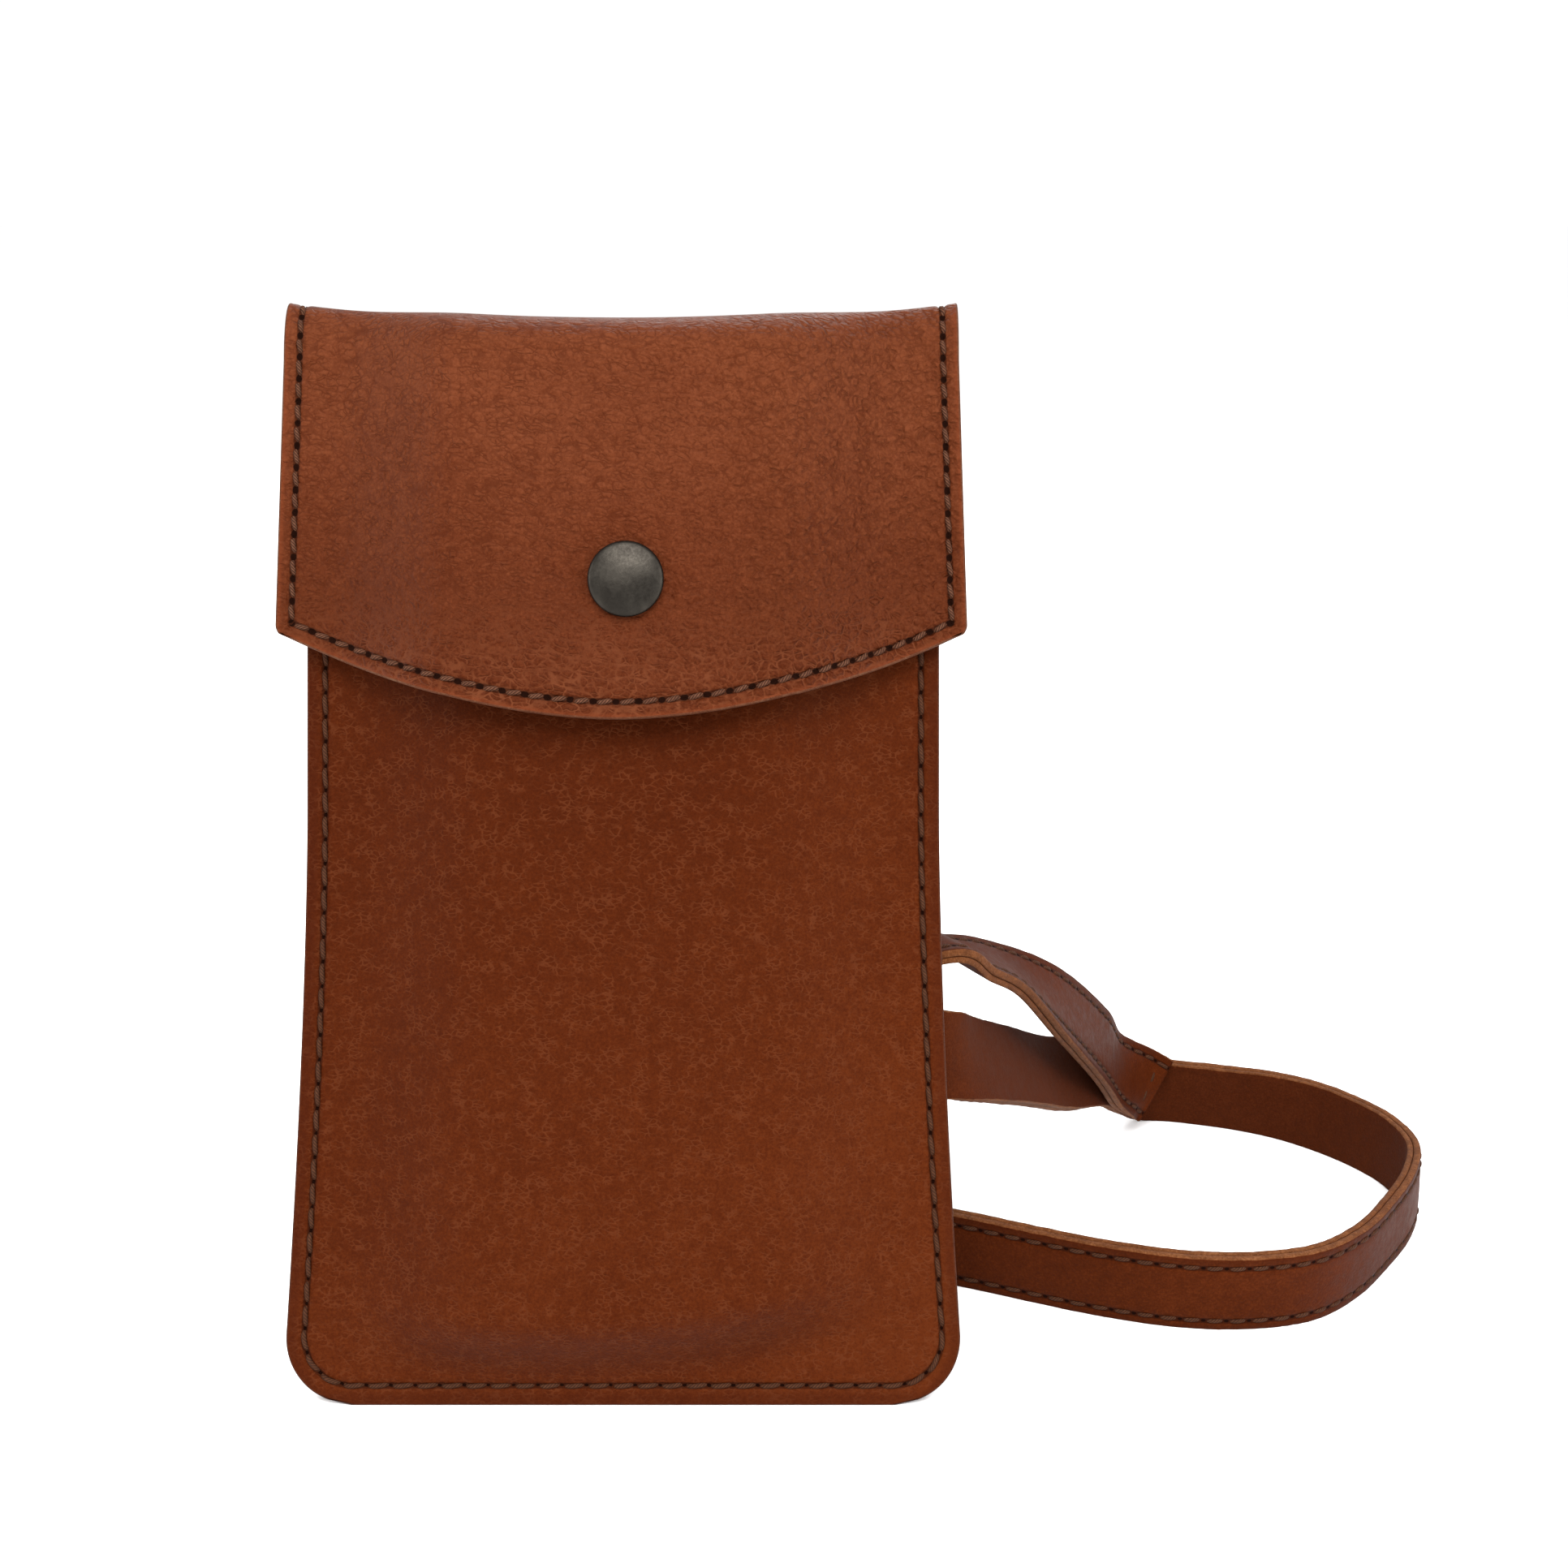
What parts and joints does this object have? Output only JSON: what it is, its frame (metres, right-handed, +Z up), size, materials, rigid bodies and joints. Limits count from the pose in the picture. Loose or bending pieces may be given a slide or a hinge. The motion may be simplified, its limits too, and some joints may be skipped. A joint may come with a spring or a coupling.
{
  "type": "phone pouch",
  "caption": "Upright leather phone pouch with a snap-down front flap, a belt loop on the back and a sewn flat shoulder strap looped beside it.",
  "frame": {"origin": "middle of the front panel's bottom edge, on the floor that the pouch stands on", "axes": "+Z up, +X to the right as seen from the front, +Y away from the front; the pouch leans back towards +Y"},
  "size_m": [0.2067, 0.1364, 0.174],
  "materials": {
    "body_leather": "smooth vegetable-tanned hide, dark brown, satin",
    "flap_leather": "pebbled hide, reddish tan brown, satin",
    "strap_leather": "smooth strap leather, brown, burnished",
    "lining_leather": "plain flesh side, matte dark brown",
    "thread": "waxed polyester thread, dark brown",
    "pewter": "antique pewter, low satin",
    "plated_steel": "plated sheet metal",
    "spring_wire": "bright spring wire"
  },
  "bodies": {
    "pouch": {"front_panel": "body_leather", "back_panel": "body_leather", "body_thread": "thread", "flap_tail": "flap_leather", "flap_fold": "flap_leather", "tail_thread": "thread", "snap_stud": "plated_steel", "snap_post": "plated_steel", "belt_loop": "body_leather", "belt_loop_thread": "thread", "strap_eye": "strap_leather", "strap": "strap_leather", "strap_behind": "strap_leather", "strap_climb": "strap_leather", "strap_lining": "lining_leather", "strap_thread": "thread", "strap_join_thread": "thread"},
    "flap": {"flap": "flap_leather", "flap_lining": "lining_leather", "flap_thread": "thread", "snap_cap": "pewter", "snap_socket": "plated_steel", "snap_spring": "spring_wire"}
  },
  "joints": [
    {"name": "flap_hinge", "type": "hinge", "parent": "pouch", "child": "flap", "pos_m": [0, 0.0423, 0.17584], "axis": [-1, 0, 0], "range_deg": [0, 175], "deforming": ["flap_fold"]}
  ]
}
